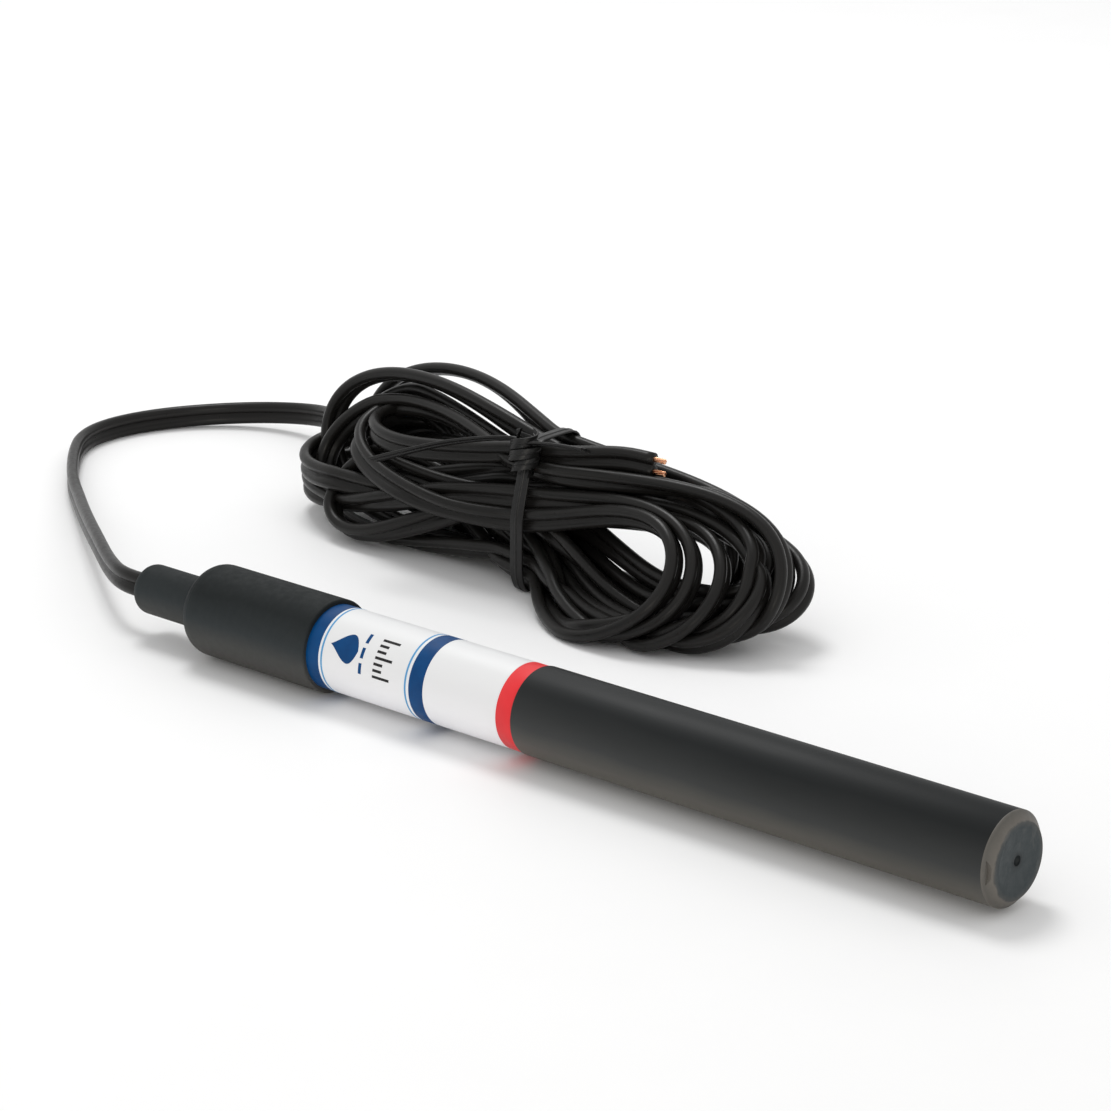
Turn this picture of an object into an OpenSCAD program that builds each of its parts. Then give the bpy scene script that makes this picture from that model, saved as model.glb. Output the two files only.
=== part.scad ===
// Soil moisture sensor: a sealed probe with ring electrodes, on a flat twin lead wound into a tied hank.
// Millimetres. +X runs along the probe to its tip and +Z is up.
// The origin is under the middle of the probe, on the surface that it lies on.

/* [Probe tube] */
// Outside diameter of the structural tube
tube_od = 17.4; // [15.6:0.1:24]
// Wall of the structural tube
tube_wall = 1.5; // [1:0.1:2]
// Length of tube that the dark sensing sleeve covers
sleeve_len = 110.2; // [92:0.1:180]
// Wall of the sensing sleeve
sleeve_wall = 0.3; // [0.15:0.05:0.6]
// Length of label that shows between the boot and the depth ring
label_len = 51.8; // [30:0.1:90]
// Thickness of the label film
label_wall = 0.1; // [0.05:0.05:0.3]
// Width of the red depth ring
ring_w = 3.9; // [2:0.1:10]
// Thickness of the red depth ring
ring_wall = 0.1; // [0.05:0.05:0.4]

/* [Cable boot] */
// Wall of the boot over the label
boot_wall = 1; // [0.5:0.05:3]
// Length of the boot's wide part
boot_len = 37.5; // [25:0.1:60]
// Rubber between the boot's shoulder and the rear plug
boot_end_wall = 4.0; // [3:0.1:8]
// How far the boot laps over the label
boot_lap = 4.0; // [1:0.1:10]
// Radius of the boot's shoulder
shoulder_r = 3.8; // [1:0.1:4]
// Rounding of the boot's front lip
lip_r = 0.4; // [0.1:0.1:0.8]
// Outside diameter of the neck
neck_od = 10.8; // [9.4:0.1:11]
// Length of the neck
neck_len = 19; // [10:0.1:40]
// Rounding of the neck's end
neck_end_r = 2.2; // [0.5:0.1:2.2]
// Fillet where the neck meets the shoulder
neck_root_r = 0.5; // [0.2:0.1:0.5]

/* [Tip plug] */
// Straight edge of the tip plug's flange
tip_land = 0.2; // [0.1:0.1:2]
// Length of the chamfer on the tip
chamfer_len = 1.6; // [0.5:0.1:4]
// Depth of the chamfer on the tip, measured inwards
chamfer_in = 1.7; // [0.5:0.1:4]
// Diameter of the shallow dish in the tip's face
dish_d = 12; // [6:0.1:14]
// Depth of the dish
dish_depth = 0.35; // [0.1:0.05:1]
// Diameter of the gate hole in the middle of the tip
gate_d = 1.1; // [0.5:0.1:3]
// Depth of the gate hole
gate_depth = 1.6; // [1:0.1:4]
// Mouth diameter of the funnel round the gate hole
gate_mouth_d = 3.4; // [1.5:0.1:5]
// Length of the slit in the chamfer
slit_len = 4.4; // [1:0.1:6]
// Width of the slit in the chamfer
slit_w = 0.8; // [0.3:0.1:1.2]
// Depth of the slit
slit_depth = 0.6; // [0.2:0.1:1.5]
// Length of the tip plug's spigot inside the tube
tip_spigot_len = 10; // [6:0.1:16]

/* [Rear plug and seals] */
// Thickness of the rear plug's flange
plug_flange = 1.6; // [1:0.1:4]
// Length of the rear plug's spigot
plug_spigot_len = 10; // [6:0.1:16]
// Gap between a spigot and the tube
spigot_gap = 0.05; // [0.02:0.01:0.15]
// Cord section of the seal rings
seal_d = 1.6; // [1:0.1:2.4]
// Distance from a flange to the middle of its seal ring
seal_set = 4; // [2.5:0.1:5]
// Extra width of a seal groove
seal_slack = 0.4; // [0.2:0.1:1]
// Gap round the cord in the rear plug
cord_gap = 0.1; // [0.05:0.05:0.3]
// Length of the potting behind the circuit board
potting_len = 24; // [14:0.1:40]

/* [Cord] */
// Width of the flat twin cord
cord_w = 5.6; // [4:0.1:5.8]
// Thickness of the flat twin cord
cord_t = 2.8; // [2:0.1:2.9]
// Half width of the web that joins the two lobes
web_half = 0.5; // [0.2:0.1:0.8]
// Diameter of an insulated core inside the probe
core_d = 2.2; // [1.6:0.1:2.6]
// Diameter of a bare conductor
wire_d = 1.2; // [0.8:0.1:1.4]
// Length of cord that runs on past the rear plug
tail_len = 9; // [8:0.1:14]
// Length of the crimp ring on the cord
clamp_len = 5; // [3:0.1:7]
// Wall of the crimp ring
clamp_wall = 1.2; // [0.5:0.1:2]
// Gap between the rear plug and the crimp ring
clamp_gap = 1; // [0.5:0.1:3]
// Length of bare wire on the cord's free end
bare_len = 3; // [1:0.1:10]

/* [Circuit board] */
// Length of the circuit board
board_len = 60; // [50:0.1:70]
// Thickness of the circuit board
board_t = 1.6; // [0.8:0.1:2]
// Space between the potting and the board
board_gap = 1; // [0.5:0.1:4]
// Space between the board's edges and the tube's bore
board_edge_gap = 0.85; // [0.5:0.05:1.5]
// Length of bare wire soldered to the board
joint_len = 6; // [3:0.1:10]
// Length of a board ring along the tube
holder_len = 3; // [2:0.1:6]
// Radial wall of a board ring
holder_wall = 2; // [1.5:0.1:2.4]
// Gap round a board ring and its slot
holder_gap = 0.05; // [0.02:0.01:0.2]
// Distance from the board's ends to its rings
holder_inset = 9; // [7:0.1:12]

/* [Electrodes] */
// Length of a ring electrode
electrode_len = 26; // [15:0.1:27]
// Gap between the two ring electrodes
electrode_gap = 8; // [4:0.1:10]
// Thickness of the electrode sheet
electrode_wall = 0.3; // [0.1:0.05:0.5]
// Gap between the electrode former and the tube
former_gap = 0.2; // [0.1:0.05:0.4]
// Bore of the electrode former
former_bore = 8; // [6:0.1:8.4]
// Space between the board and the former
former_rear_gap = 4; // [2:0.1:8]
// Space between the former and the tip plug
former_tip_gap = 1; // [0.5:0.1:4]
// Diameter of an electrode lead
lead_d = 1; // [0.6:0.1:1.2]
// Distance of an electrode lead from the board's middle line
lead_off = 2; // [1:0.1:2.2]
// Length of an electrode lead soldered to the board
lead_lap = 4; // [2:0.1:5]

/* [Hank and tie] */
// Distance forward from the cord's exit to the hank's waist
waist_x = 42; // [36:0.5:48]
// Distance of the hank's waist from the probe's axis
waist_y = 80; // [78:0.5:82]
// Height of the strands at the waist
waist_w = 33; // [26:0.5:36]
// Thickness of the strands at the waist
waist_t = 18; // [14:0.5:19]
// Lean of the waist from flat to upright
waist_lean = 80; // [70:1:90]
// Length of the strands' bundle between the lobes
waist_len = 44; // [36:0.5:50]
// Height of the left lobe
left_h = 38; // [36:0.5:45]
// Radius of the left lobe's ends
left_r = 19; // [17:0.5:22]
// Height of the right lobe
right_h = 30; // [24:0.5:30]
// Radius of the right lobe's ends
right_r = 22; // [20:0.5:24]
// Length of cord from the hank's waist to its stripped end
free_len = 8.5; // [2:0.5:24]
// Width of the tie's ribbon
tie_w = 3.6; // [2:0.1:6]
// Thickness of the tie's ribbon
tie_t = 1.2; // [1:0.1:2]
// Diameter of the steel wire in the tie
tie_wire_d = 0.6; // [0.3:0.1:0.8]
// Diameter of the tie's twisted knot
knot_d = 7; // [4:0.1:8]
// Height of the tie's twisted knot
knot_h = 9; // [6:0.1:12]

/* [Hidden] */
$fn = 64;
eps = 0.01;
arc_steps = 8;

// Middles of the lobes' round ends: forward from the cord's exit, and sideways
left_far = [-28, 92];
left_near = [12, 88];
right_near = [72, 76];
right_far = [84, 76];
// Distance of the free end from the probe's axis where it leaves the waist, and its turn from that axis
free_y = 81;
free_turn = 5;
// Ends of the tie's tails, measured from the middle of its knot: up, out and forward
left_tail = [-9, 8, -37];
right_tail = [1.5, 1, 18];
// Distance of the knot from the strands' top edge
knot_drop = 1;
// How far the knot sinks into the ribbon
knot_sink = 0.8;

// Stations along the probe, measured from the neck's end
tube_id = tube_od - 2 * tube_wall;
label_od = tube_od + 2 * label_wall;
boot_od = label_od + 2 * boot_wall;
sleeve_od = tube_od + 2 * sleeve_wall;
tip_len = tip_land + chamfer_len;
plug_s = neck_len + boot_end_wall;
tube_s = plug_s + plug_flange;
boot_front_s = neck_len + boot_len;
ring_s = boot_front_s + label_len;
sleeve_s = ring_s + ring_w;
tube_end_s = sleeve_s + sleeve_len;
overall_len = tube_end_s + tip_len;
potting_s = tube_s + plug_spigot_len;
potting_end_s = potting_s + potting_len;
tail_end_s = potting_s + tail_len;
clamp_s = potting_s + clamp_gap;
board_s = potting_end_s + board_gap;
board_end_s = board_s + board_len;
former_s = board_end_s + former_rear_gap;
former_end_s = tube_end_s - tip_spigot_len - former_tip_gap;
former_mid_s = (former_s + former_end_s) / 2;
rear_electrode_s = former_mid_s - electrode_gap / 2 - electrode_len;
front_electrode_s = former_mid_s + electrode_gap / 2;

// Radii and heights
axis_z = boot_od / 2;
exit_x = -overall_len / 2;
spigot_r = tube_id / 2 - spigot_gap;
seal_r = tube_id / 2 - seal_d / 2;
groove_r = tube_id / 2 - seal_d;
former_r = tube_id / 2 - former_gap;
electrode_r = former_r - electrode_wall;
board_y = -wire_d / 2;
board_half_w = sqrt(pow(tube_id / 2, 2) - pow(wire_d / 2 + board_t, 2)) - board_edge_gap;
lobe_z = cord_t / 2;

// Points of an arc round c, from angle a to angle b
function arc_points(c, r, a, b) =
    [for (i = [0 : arc_steps]) c + r * [cos(a + (b - a) * i / arc_steps), sin(a + (b - a) * i / arc_steps)]];

// Stands a child that was drawn along +Z on the probe's axis, at station s
module on_axis(s) {
    translate([exit_x + s, 0, axis_z]) rotate([0, 90, 0]) children();
}

// A ring on the probe's axis
module axis_ring(s, len, outer_d, inner_d) {
    on_axis(s) difference() {
        cylinder(d = outer_d, h = len);
        translate([0, 0, -1]) cylinder(d = inner_d, h = len + 2);
    }
}

// Section of the flat twin cord, wide along Y, grown by a gap
module twin_section(gap = 0) {
    offset_to_lobe = (cord_w - cord_t) / 2;
    for (side = [-1, 1]) translate([0, side * offset_to_lobe]) circle(d = cord_t + 2 * gap);
    square([2 * (web_half + gap), 2 * offset_to_lobe], center = true);
}

// A length of flat twin cord on the probe's axis, its wide side upright
module axis_cord(s, len, gap = 0) {
    on_axis(s) linear_extrude(len) rotate(90) twin_section(gap);
}

// Two round rods side by side in the cord's lobes
module axis_pair(s, len, d) {
    for (side = [-1, 1]) translate([0, 0, side * lobe_z]) on_axis(s) cylinder(d = d, h = len);
}

// ---- Probe shell ----

module cable_boot() {
    neck_r = neck_od / 2;
    boot_r = boot_od / 2;
    round_r = min(shoulder_r, boot_r - neck_r - neck_root_r);
    outer = concat(
        [[0, 0]],
        arc_points([neck_r - neck_end_r, neck_end_r], neck_end_r, -90, 0),
        arc_points([neck_r + neck_root_r, neck_len - neck_root_r], neck_root_r, 180, 90),
        arc_points([boot_r - round_r, neck_len + round_r], round_r, -90, 0),
        arc_points([boot_r - lip_r, boot_front_s - lip_r], lip_r, 0, 90));
    inner = [[label_od / 2, boot_front_s], [label_od / 2, boot_front_s - boot_lap],
             [tube_od / 2, boot_front_s - boot_lap], [tube_od / 2, plug_s], [0, plug_s]];
    color("#3a3e40") difference() {
        on_axis(0) rotate_extrude() polygon(concat(outer, inner));
        axis_cord(-1, plug_s + 2);
    }
}

module label_wrap() {
    color("#e6e6e8") axis_ring(boot_front_s - boot_lap, label_len + boot_lap, label_od, tube_od);
}

module depth_ring() {
    color("#e2343a") axis_ring(ring_s, ring_w, tube_od + 2 * ring_wall, tube_od);
}

module sensing_sleeve() {
    color("#3d4142") axis_ring(sleeve_s, sleeve_len, sleeve_od, tube_od);
}

module sensor_tube() {
    color("#c9c9c4") axis_ring(tube_s, tube_end_s - tube_s, tube_od, tube_id);
}

// Groove for a seal ring, cut into a spigot
module seal_groove(s) {
    axis_ring(s - seal_d / 2 - seal_slack / 2, seal_d + seal_slack, tube_id + 1, 2 * groove_r);
}

module seal_ring(s) {
    color("#202224") on_axis(s) rotate_extrude() translate([seal_r, 0]) circle(d = seal_d);
}

module tip_plug() {
    tip_r = sleeve_od / 2;
    dish_r = (pow(dish_d / 2, 2) + pow(dish_depth, 2)) / (2 * dish_depth);
    slit_r = (pow(slit_len / 2, 2) + pow(slit_depth, 2)) / (2 * slit_depth);
    slit_mid_r = tip_r - chamfer_in / 2;
    color("#5a5650") difference() {
        union() {
            on_axis(tube_end_s) rotate_extrude()
                polygon([[0, 0], [tip_r, 0], [tip_r, tip_land], [tip_r - chamfer_in, tip_len], [0, tip_len]]);
            on_axis(tube_end_s - tip_spigot_len) cylinder(r = spigot_r, h = tip_spigot_len + eps);
        }
        seal_groove(tube_end_s - seal_set);
        on_axis(overall_len - dish_depth + dish_r) sphere(r = dish_r, $fn = 96);
        on_axis(overall_len - gate_depth) cylinder(d = gate_d, h = gate_depth + 1);
        on_axis(overall_len - dish_depth - (gate_mouth_d - gate_d) / 2)
            cylinder(d1 = gate_d, d2 = gate_mouth_d, h = (gate_mouth_d - gate_d) / 2 + eps);
        translate([0, -slit_mid_r - slit_r + slit_depth, 0])
            on_axis(overall_len - chamfer_len / 2 - slit_w / 2) cylinder(r = slit_r, h = slit_w);
    }
}

module tip_seal() seal_ring(tube_end_s - seal_set);

module rear_plug() {
    color("#8d9296") difference() {
        union() {
            on_axis(plug_s) cylinder(d = tube_od, h = plug_flange);
            on_axis(tube_s - eps) cylinder(r = spigot_r, h = plug_spigot_len + eps);
        }
        seal_groove(tube_s + seal_set);
        axis_cord(plug_s - 1, plug_flange + plug_spigot_len + 2, cord_gap);
    }
}

module rear_seal() seal_ring(tube_s + seal_set);

// ---- Cord entry ----

// Outline of the crimp ring, which follows the twin cord
module clamp_body() {
    clamp_d = cord_t + 2 * clamp_wall;
    on_axis(clamp_s) linear_extrude(clamp_len) {
        for (side = [-1, 1]) translate([side * (cord_w - cord_t) / 2, 0]) circle(d = clamp_d);
        square([cord_w - cord_t, clamp_d], center = true);
    }
}

module cord_clamp() {
    color("#b9bcc0") difference() {
        clamp_body();
        axis_cord(clamp_s - 1, clamp_len + 2);
    }
}

module cord_tail() {
    color("#1b1c1d") axis_cord(0, tail_end_s);
}

module core_leads() {
    color("#b0302c") difference() {
        axis_pair(tail_end_s, board_s - tail_end_s, core_d);
        axis_pair(tail_end_s - 1, board_s - tail_end_s + 2, wire_d);
    }
}

module core_conductors() {
    color("#c77f4e") axis_pair(tail_end_s, board_s - tail_end_s + joint_len, wire_d);
}

module rear_potting() {
    color("#26282b") difference() {
        on_axis(potting_s) cylinder(d = tube_id, h = potting_len);
        axis_cord(potting_s - 1, tail_len + 1);
        clamp_body();
        axis_pair(tail_end_s - eps, potting_len, core_d);
    }
}

// ---- Circuit board ----

// A slab the size of the board, grown by a gap
module board_slab(gap = 0) {
    translate([exit_x + board_s, board_y - board_t - gap, axis_z - board_half_w - gap])
        cube([board_len, board_t + 2 * gap, 2 * (board_half_w + gap)]);
}

module circuit_board() {
    color("#1f6b3a") board_slab();
}

module board_ring(s) {
    ring_od = tube_id - 2 * holder_gap;
    color("#d7d3c8") difference() {
        axis_ring(s, holder_len, ring_od, ring_od - 2 * holder_wall);
        board_slab(holder_gap);
    }
}

module rear_board_ring() board_ring(board_s + holder_inset);

module front_board_ring() board_ring(board_end_s - holder_inset - holder_len);

// A block that stands on the board, centred at a distance along it and across it
module on_board(along, across, size) {
    translate([exit_x + board_s + along - size[0] / 2, board_y, axis_z + across - size[2] / 2]) cube(size);
}

// A round part that stands on the board
module round_on_board(along, across, d, h) {
    translate([exit_x + board_s + along, board_y, axis_z + across]) rotate([-90, 0, 0]) cylinder(d = d, h = h);
}

module oscillator_chip() {
    color("#222426") on_board(24, 0, [6, 1.6, 5]);
}

module regulator_chip() {
    color("#2a2c2e") on_board(41, 0, [6.4, 1.6, 3.6]);
}

module filter_inductor() {
    color("#4a4440") round_on_board(33, 0, 5, 3.2);
}

module filter_capacitor() {
    color("#8f9499") round_on_board(16, 0, 4, 4.4);
}

module chip_capacitors() {
    for (along = [20, 28]) for (side = [-1, 1])
        color("#b79a6a") on_board(along, side * 4, [2, 0.9, 1.2]);
}

module chip_resistors() {
    for (along = [24, 36.5, 46]) for (side = [-1, 1])
        color("#303234") on_board(along, side * 4, [2, 0.5, 1.2]);
}

module polarity_diode() {
    color("#1e2022") on_board(51, 0, [4, 1.6, 2.4]);
}

// ---- Electrodes ----

// Passage for an electrode lead: along the probe, then out to its electrode
module lead_path(end_s, side, d) {
    start_s = board_end_s - lead_lap;
    reach = electrode_r - lead_off;
    translate([0, board_y + lead_d / 2, side * lead_off]) {
        on_axis(start_s) cylinder(d = d, h = end_s - start_s);
        on_axis(end_s) sphere(d = d);
        translate([exit_x + end_s, 0, axis_z]) rotate([side > 0 ? 0 : 180, 0, 0]) cylinder(d = d, h = reach);
    }
}

module electrode_former() {
    color("#dcdad2") difference() {
        axis_ring(former_s, former_end_s - former_s, 2 * former_r, former_bore);
        for (s = [rear_electrode_s, front_electrode_s])
            axis_ring(s, electrode_len, tube_id + 1, 2 * electrode_r);
        lead_hole(rear_electrode_s, 1);
        lead_hole(front_electrode_s, -1);
    }
}

// Hole through the former's wall for an electrode lead
module lead_hole(s, side) {
    translate([exit_x + s + electrode_len / 2, board_y + lead_d / 2, axis_z])
        rotate([side > 0 ? 0 : 180, 0, 0]) cylinder(d = lead_d + 0.2, h = tube_id);
}

module ring_electrode(s) {
    color("#c8a24a") axis_ring(s, electrode_len, 2 * former_r, 2 * electrode_r);
}

module rear_electrode() ring_electrode(rear_electrode_s);

module front_electrode() ring_electrode(front_electrode_s);

module electrode_lead(s, side) {
    color("#e0e0e0") intersection() {
        lead_path(s + electrode_len / 2, side, lead_d);
        on_axis(0) cylinder(r = electrode_r, h = overall_len);
    }
}

module rear_lead() electrode_lead(rear_electrode_s, 1);

module front_lead() electrode_lead(front_electrode_s, -1);

// ---- Cord outside the probe ----

// Route of the loose cord from the neck's end: forward, sideways, and height above where it lies on the floor
route = [[0, 0, 0], [-8, 0.2, 0], [-19, 6, 6.2], [-34, 16, 5.2], [-54, 30, 3.2], [-71, 42.5, 1.4],
         [-87, 54.5, 0.3], [-103, 69, 0], [-112, 80, 0], [-115, 92, 0], [-112, 106, 0], [-103, 118, 0.5],
         [-91, 125, 1.6], [-77, 126, 3.4], [-63, 120, 6], [-51, 112, 9.5], [-42, 107, 11]];
route_floor = cord_w / 2;
run_sides = 8;
run_steps = 2;

// A point of the route in the part's frame: the first two points follow the neck's height
function route_point(i) =
    [exit_x + route[i][0], route[i][1], i < 2 ? axis_z : route_floor + route[i][2]];

// A smooth curve through four neighbouring points
function smooth(a, b, c, d, t) =
    0.5 * (2 * b + (c - a) * t + (2 * a - 5 * b + 4 * c - d) * t * t + (3 * b - a - 3 * c + d) * t * t * t);

function run_line() = let (last = len(route) - 1) concat(
    [for (i = [0 : last - 1]) for (k = [0 : run_steps - 1])
        smooth(route_point(max(i - 1, 0)), route_point(i), route_point(i + 1),
               route_point(min(i + 2, last)), k / run_steps)],
    [route_point(last)]);

function unit(v) = v / norm(v);

// Direction of travel at a point of the line; both ends are square to X
function heading(line, i) =
    i == 0 ? [-1, 0, 0] : i == len(line) - 1 ? [1, 0, 0] : unit(line[i + 1] - line[i - 1]);

// One ring of the swept cord, wide side upright
function run_ring(at, along) =
    let (side = unit(cross([0, 0, 1], along)), up = cross(along, side))
    [for (k = [0 : run_sides - 1]) let (a = 360 * (k + 0.5) / run_sides)
        at + side * cord_t / 2 * cos(a) + up * cord_w / 2 * sin(a)];

module cord_run() {
    line = run_line();
    rings = len(line);
    points = [for (i = [0 : rings - 1]) each run_ring(line[i], heading(line, i))];
    faces = concat(
        [[for (k = [0 : run_sides - 1]) k]],
        [for (i = [0 : rings - 2]) for (k = [0 : run_sides - 1]) let (n = (k + 1) % run_sides)
            [i * run_sides + k, (i + 1) * run_sides + k, (i + 1) * run_sides + n, i * run_sides + n]],
        [[for (k = [run_sides - 1 : -1 : 0]) (rings - 1) * run_sides + k]]);
    color("#1b1c1d") polyhedron(points, faces);
}

// Rounded bar that fills the tie, standing like the strands at the waist
waist_round = 5;
// Gap from the tie to the floor
waist_gap = 0.3;
// Length of the free end's line inside the waist
free_inside = 1;
waist_half_w = waist_w / 2 - waist_round;
waist_half_t = waist_t / 2 - waist_round;
waist_z = tie_t + waist_gap + waist_half_w * sin(waist_lean) + waist_half_t * cos(waist_lean) + waist_round;

// Places a child that was drawn with +Z along the strands at the waist's middle
module at_waist() {
    translate([exit_x + waist_x, waist_y, waist_z]) rotate([waist_lean, 0, 0]) rotate([90, 0, 90])
        children();
}

module waist_bar(len, grow = 0) {
    r = waist_round + grow;
    at_waist() translate([0, 0, -len / 2]) linear_extrude(len) {
        for (y = [-1, 1]) for (z = [-1, 1]) translate([y * waist_half_w, z * waist_half_t]) circle(r = r);
        square([2 * waist_half_w, 2 * (waist_half_t + r)], center = true);
        square([2 * (waist_half_w + r), 2 * waist_half_t], center = true);
    }
}

// Upright block with round ends
module lobe(from, to, r, h) {
    d = to - from;
    translate([exit_x + from[0], from[1], 0]) rotate(atan2(d[1], d[0])) linear_extrude(h) {
        circle(r = r);
        translate([norm(d), 0]) circle(r = r);
        translate([0, -r]) square([norm(d), 2 * r]);
    }
}

module cord_hank() {
    entry = route_point(len(route) - 1);
    slot_h = waist_z + waist_w;
    color("#1d1e1f") difference() {
        union() {
            lobe(left_far, left_near, left_r, left_h);
            lobe(right_near, right_far, right_r, right_h);
            waist_bar(waist_len);
            translate([entry[0], entry[1] - cord_t / 2, entry[2] - cord_w / 2])
                cube([exit_x + left_far[0] - entry[0], cord_t, cord_w]);
        }
        difference() {
            translate([exit_x + waist_x - tie_w / 2, waist_y - waist_w, -1])
                cube([tie_w, 2 * waist_w, slot_h]);
            waist_bar(tie_w + 2);
        }
    }
}

// Places a child drawn along +Z on the free end's line, which leaves the waist on top of the right lobe
module on_free_end(along) {
    translate([exit_x + waist_x + waist_len / 2 - free_inside, free_y, right_h + cord_w / 2])
        rotate(free_turn) translate([along, 0, 0]) rotate([0, 90, 0]) children();
}

module cord_free_end() {
    color("#1b1c1d") difference() {
        on_free_end(0) linear_extrude(free_len) rotate(90) twin_section();
        waist_bar(waist_len);
    }
}

module bare_conductors() {
    for (side = [-1, 1])
        color("#c77f4e") on_free_end(free_len) translate([side * lobe_z, 0, 0])
            cylinder(d = wire_d, h = bare_len);
}

// A tail of the tie's ribbon, from the knot to a point measured from the knot's middle in the waist's frame
module tie_tail(to) {
    len = norm(to);
    rotate([0, atan2(to[0], to[2]), 0]) rotate([-asin(to[1] / len), 0, 0])
        translate([-tie_w / 2, -tie_t / 2, 0]) cube([tie_w, tie_t, len]);
}

module twist_tie() {
    knot_up = (waist_w - knot_h) / 2 - knot_drop;
    knot_out = (waist_t + knot_d) / 2 + tie_t - knot_sink;
    color("#161718") difference() {
        union() {
            difference() {
                waist_bar(tie_w, tie_t);
                waist_bar(tie_w + 2);
            }
            at_waist() translate([knot_up, knot_out, 0]) {
                translate([-knot_h / 2, 0, 0]) rotate([0, 90, 0]) cylinder(d = knot_d, h = knot_h);
                tie_tail(left_tail);
                tie_tail(right_tail);
            }
        }
        tie_wire_loop();
    }
}

// The steel wire's closed loop inside the ribbon
module tie_wire_loop() {
    r = waist_round + tie_t / 2;
    at_waist() for (turn = [0, 180]) rotate(turn) {
        for (end = [-1, 1]) translate([end > 0 ? waist_half_w : -waist_half_w, waist_half_t])
            rotate(end > 0 ? 0 : 90) rotate_extrude(angle = 90) translate([r, 0]) circle(d = tie_wire_d);
        translate([-waist_half_w, waist_half_t + r]) rotate([0, 90, 0])
            cylinder(d = tie_wire_d, h = 2 * waist_half_w);
        translate([waist_half_w + r, -waist_half_t]) rotate([-90, 0, 0])
            cylinder(d = tie_wire_d, h = 2 * waist_half_t);
    }
}

module tie_wire() {
    color("#9a9da1") tie_wire_loop();
}

cable_boot();
label_wrap();
depth_ring();
sensing_sleeve();
sensor_tube();
tip_plug();
tip_seal();
rear_plug();
rear_seal();
cord_clamp();
rear_potting();
cord_tail();
core_leads();
core_conductors();
circuit_board();
rear_board_ring();
front_board_ring();
oscillator_chip();
regulator_chip();
filter_inductor();
filter_capacitor();
chip_capacitors();
chip_resistors();
polarity_diode();
electrode_former();
rear_electrode();
front_electrode();
rear_lead();
front_lead();
cord_run();
cord_hank();
cord_free_end();
bare_conductors();
twist_tie();
tie_wire();
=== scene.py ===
import math

import bmesh
import bpy
import numpy as np
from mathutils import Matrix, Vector


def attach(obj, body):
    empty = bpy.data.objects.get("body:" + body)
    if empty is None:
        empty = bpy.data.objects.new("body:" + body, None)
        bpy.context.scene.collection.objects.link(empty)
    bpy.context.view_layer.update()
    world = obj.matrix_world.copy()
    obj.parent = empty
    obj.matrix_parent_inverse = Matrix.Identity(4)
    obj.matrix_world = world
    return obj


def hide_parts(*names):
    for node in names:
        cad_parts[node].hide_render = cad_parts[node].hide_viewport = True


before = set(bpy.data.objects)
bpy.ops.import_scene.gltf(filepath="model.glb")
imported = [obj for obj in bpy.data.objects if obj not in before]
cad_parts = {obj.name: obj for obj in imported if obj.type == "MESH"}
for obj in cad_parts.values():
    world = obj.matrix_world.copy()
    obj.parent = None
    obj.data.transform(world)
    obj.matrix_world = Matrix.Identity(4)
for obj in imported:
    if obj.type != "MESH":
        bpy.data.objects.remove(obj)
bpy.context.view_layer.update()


# ---- Camera ----
# A long lens stands low beyond the tip, on the probe's right-hand side.
# It looks down a little across the probe, with the hank of lead behind it.
camera = bpy.data.objects.new("camera", bpy.data.cameras.new("camera"))
bpy.context.scene.collection.objects.link(camera)
camera.data.lens = 118.96
camera.data.sensor_width = 36
camera.data.clip_start = 0.01
camera.data.clip_end = 20
camera.location = (0.4452, -0.4950, 0.2602)
camera.rotation_euler = (math.radians(90 - 18.1937), 0, math.radians(41.7155))
bpy.context.scene.camera = camera


# ---- Flat twin lead ----
# One length of flat twin lead in black vinyl leaves the boot's neck, lies in a loose curve on the floor and
# ends wound into a hank: eleven long turns that cross each other in the middle, where a tie holds them.
# The turns start from a rule, then the strands push each other apart, bend evenly and settle.
LEAD_W, LEAD_T, WEB = 5.6, 2.8, 0.5          # millimetres, as all sizes of the lead's path
HALF = (LEAD_W - LEAD_T) / 2
EXIT = np.array([-112.1, 0.0, 9.8])
ROUTE = [(0, 0, 0), (-8, 0.2, 0), (-19, 6, 6.2), (-34, 16, 5.2), (-54, 30, 3.2), (-71, 42.5, 1.4),
         (-87, 54.5, 0.3), (-103, 69, 0), (-112, 80, 0), (-115, 92, 0), (-112, 106, 0), (-103, 118, 0.5),
         (-91, 125, 1.6), (-77, 126, 3.4), (-63, 120, 6), (-51, 112, 9.5), (-42, 107, 11)]
WAIST = np.array([-70.1, 80.0, 17.0])
WAIST_HALF = (9.0, 16.5)                     # sideways and up
FREE_END = [(21, 1, 15.8), (29.5, 1.7, 15.8)]     # the free end's last two points, from the waist's middle
ENTRY = [(-130, 100, 20), (-104, 90, 26)]    # where the loose lead climbs into the hank
STEP = 2.0

# Where each strand crosses the waist, sideways and up: on its way to the right, and on its way back
OUT = [(6.5, 7), (6.5, 12.5), (3, 12.5), (3, 6.9), (3, 1.2), (-0.5, 6.9), (-3.2, 7.3), (-6.5, -1),
       (-6.5, 4.5), (-0.5, 1.2), (-6.5, 10), (-2.5, 13.3)]
BACK = [(6.5, -10), (3, -10), (6.5, -4.3), (3, -4.3), (6.5, 1.2), (-0.5, -10), (-3.5, -12.6), (-6.5, -10),
        (-0.5, -4.3), (-3.5, -7), (-3.5, 1.2)]
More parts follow.
